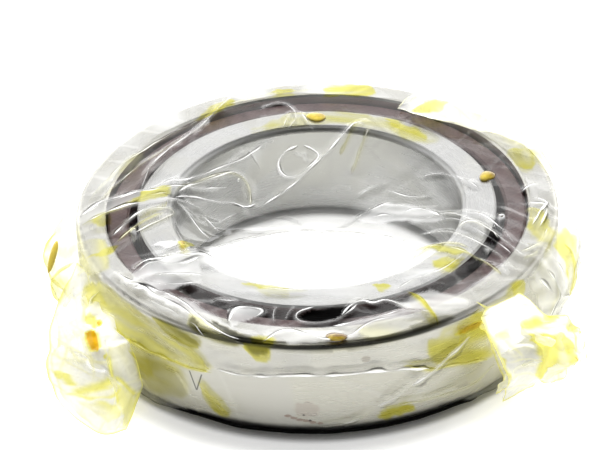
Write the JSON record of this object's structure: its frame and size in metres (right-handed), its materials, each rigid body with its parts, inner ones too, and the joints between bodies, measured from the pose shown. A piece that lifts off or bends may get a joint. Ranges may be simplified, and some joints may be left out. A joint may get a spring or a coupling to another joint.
{
  "type": "angular contact ball bearing",
  "caption": "Single-row angular contact ball bearing with a machined, outer-ring-guided cage, for a shaft that carries radial load and thrust in one direction",
  "frame": {"origin": "centre of the bearing's lower side, on its axis", "axes": "+Z along the bearing's axis, out of the side with the outer ring's full shoulder; ball_01 lies on +X"},
  "size_m": [0.075, 0.075, 0.016],
  "materials": {
    "ring_steel": "ground bearing steel, lightly oiled",
    "cage_laminate": "machined fabric-reinforced phenolic, oil-dark",
    "ball_steel": "lapped and polished bearing steel"
  },
  "bodies": {
    "outer_ring": {"outer_ring": "ring_steel"},
    "inner_ring": {"inner_ring": "ring_steel"},
    "cage": {"cage": "cage_laminate"},
    "ball_01": {"ball_01": "ball_steel"},
    "ball_02": {"ball_02": "ball_steel"},
    "ball_03": {"ball_03": "ball_steel"},
    "ball_04": {"ball_04": "ball_steel"},
    "ball_05": {"ball_05": "ball_steel"},
    "ball_06": {"ball_06": "ball_steel"},
    "ball_07": {"ball_07": "ball_steel"},
    "ball_08": {"ball_08": "ball_steel"},
    "ball_09": {"ball_09": "ball_steel"},
    "ball_10": {"ball_10": "ball_steel"},
    "ball_11": {"ball_11": "ball_steel"},
    "ball_12": {"ball_12": "ball_steel"},
    "ball_13": {"ball_13": "ball_steel"},
    "ball_14": {"ball_14": "ball_steel"},
    "ball_15": {"ball_15": "ball_steel"},
    "ball_16": {"ball_16": "ball_steel"},
    "ball_17": {"ball_17": "ball_steel"},
    "ball_18": {"ball_18": "ball_steel"}
  },
  "joints": [
    {"name": "inner_spin", "type": "hinge", "parent": "outer_ring", "child": "inner_ring", "pos_m": [0, 0, 0.008], "axis": [0, 0, 1], "continuous": true},
    {"name": "cage_spin", "type": "hinge", "parent": "outer_ring", "child": "cage", "pos_m": [0, 0, 0.008], "axis": [0, 0, 1], "continuous": true},
    {"name": "ball_01_roll", "type": "hinge", "parent": "cage", "child": "ball_01", "pos_m": [0.03, 0, 0.008], "axis": [-0.4226, 0, 0.9063], "continuous": true},
    {"name": "ball_02_roll", "type": "hinge", "parent": "cage", "child": "ball_02", "pos_m": [0.02819, 0.01026, 0.008], "axis": [-0.3971, -0.1445, 0.9063], "continuous": true},
    {"name": "ball_03_roll", "type": "hinge", "parent": "cage", "child": "ball_03", "pos_m": [0.02298, 0.01928, 0.008], "axis": [-0.3237, -0.2717, 0.9063], "continuous": true},
    {"name": "ball_04_roll", "type": "hinge", "parent": "cage", "child": "ball_04", "pos_m": [0.015, 0.02598, 0.008], "axis": [-0.2113, -0.366, 0.9063], "continuous": true},
    {"name": "ball_05_roll", "type": "hinge", "parent": "cage", "child": "ball_05", "pos_m": [0.00521, 0.02954, 0.008], "axis": [-0.0734, -0.4162, 0.9063], "continuous": true},
    {"name": "ball_06_roll", "type": "hinge", "parent": "cage", "child": "ball_06", "pos_m": [-0.00521, 0.02954, 0.008], "axis": [0.0734, -0.4162, 0.9063], "continuous": true},
    {"name": "ball_07_roll", "type": "hinge", "parent": "cage", "child": "ball_07", "pos_m": [-0.015, 0.02598, 0.008], "axis": [0.2113, -0.366, 0.9063], "continuous": true},
    {"name": "ball_08_roll", "type": "hinge", "parent": "cage", "child": "ball_08", "pos_m": [-0.02298, 0.01928, 0.008], "axis": [0.3237, -0.2717, 0.9063], "continuous": true},
    {"name": "ball_09_roll", "type": "hinge", "parent": "cage", "child": "ball_09", "pos_m": [-0.02819, 0.01026, 0.008], "axis": [0.3971, -0.1445, 0.9063], "continuous": true},
    {"name": "ball_10_roll", "type": "hinge", "parent": "cage", "child": "ball_10", "pos_m": [-0.03, 0, 0.008], "axis": [0.4226, 0, 0.9063], "continuous": true},
    {"name": "ball_11_roll", "type": "hinge", "parent": "cage", "child": "ball_11", "pos_m": [-0.02819, -0.01026, 0.008], "axis": [0.3971, 0.1445, 0.9063], "continuous": true},
    {"name": "ball_12_roll", "type": "hinge", "parent": "cage", "child": "ball_12", "pos_m": [-0.02298, -0.01928, 0.008], "axis": [0.3237, 0.2717, 0.9063], "continuous": true},
    {"name": "ball_13_roll", "type": "hinge", "parent": "cage", "child": "ball_13", "pos_m": [-0.015, -0.02598, 0.008], "axis": [0.2113, 0.366, 0.9063], "continuous": true},
    {"name": "ball_14_roll", "type": "hinge", "parent": "cage", "child": "ball_14", "pos_m": [-0.00521, -0.02954, 0.008], "axis": [0.0734, 0.4162, 0.9063], "continuous": true},
    {"name": "ball_15_roll", "type": "hinge", "parent": "cage", "child": "ball_15", "pos_m": [0.00521, -0.02954, 0.008], "axis": [-0.0734, 0.4162, 0.9063], "continuous": true},
    {"name": "ball_16_roll", "type": "hinge", "parent": "cage", "child": "ball_16", "pos_m": [0.015, -0.02598, 0.008], "axis": [-0.2113, 0.366, 0.9063], "continuous": true},
    {"name": "ball_17_roll", "type": "hinge", "parent": "cage", "child": "ball_17", "pos_m": [0.02298, -0.01928, 0.008], "axis": [-0.3237, 0.2717, 0.9063], "continuous": true},
    {"name": "ball_18_roll", "type": "hinge", "parent": "cage", "child": "ball_18", "pos_m": [0.02819, -0.01026, 0.008], "axis": [-0.3971, 0.1445, 0.9063], "continuous": true}
  ],
  "couplings": [
    {"joint": "cage_spin", "follows": "inner_spin", "ratio": 0.43406},
    {"joint": "ball_01_roll", "follows": "inner_spin", "ratio": -3.3763},
    {"joint": "ball_02_roll", "follows": "inner_spin", "ratio": -3.3763},
    {"joint": "ball_03_roll", "follows": "inner_spin", "ratio": -3.3763},
    {"joint": "ball_04_roll", "follows": "inner_spin", "ratio": -3.3763},
    {"joint": "ball_05_roll", "follows": "inner_spin", "ratio": -3.3763},
    {"joint": "ball_06_roll", "follows": "inner_spin", "ratio": -3.3763},
    {"joint": "ball_07_roll", "follows": "inner_spin", "ratio": -3.3763},
    {"joint": "ball_08_roll", "follows": "inner_spin", "ratio": -3.3763},
    {"joint": "ball_09_roll", "follows": "inner_spin", "ratio": -3.3763},
    {"joint": "ball_10_roll", "follows": "inner_spin", "ratio": -3.3763},
    {"joint": "ball_11_roll", "follows": "inner_spin", "ratio": -3.3763},
    {"joint": "ball_12_roll", "follows": "inner_spin", "ratio": -3.3763},
    {"joint": "ball_13_roll", "follows": "inner_spin", "ratio": -3.3763},
    {"joint": "ball_14_roll", "follows": "inner_spin", "ratio": -3.3763},
    {"joint": "ball_15_roll", "follows": "inner_spin", "ratio": -3.3763},
    {"joint": "ball_16_roll", "follows": "inner_spin", "ratio": -3.3763},
    {"joint": "ball_17_roll", "follows": "inner_spin", "ratio": -3.3763},
    {"joint": "ball_18_roll", "follows": "inner_spin", "ratio": -3.3763}
  ]
}
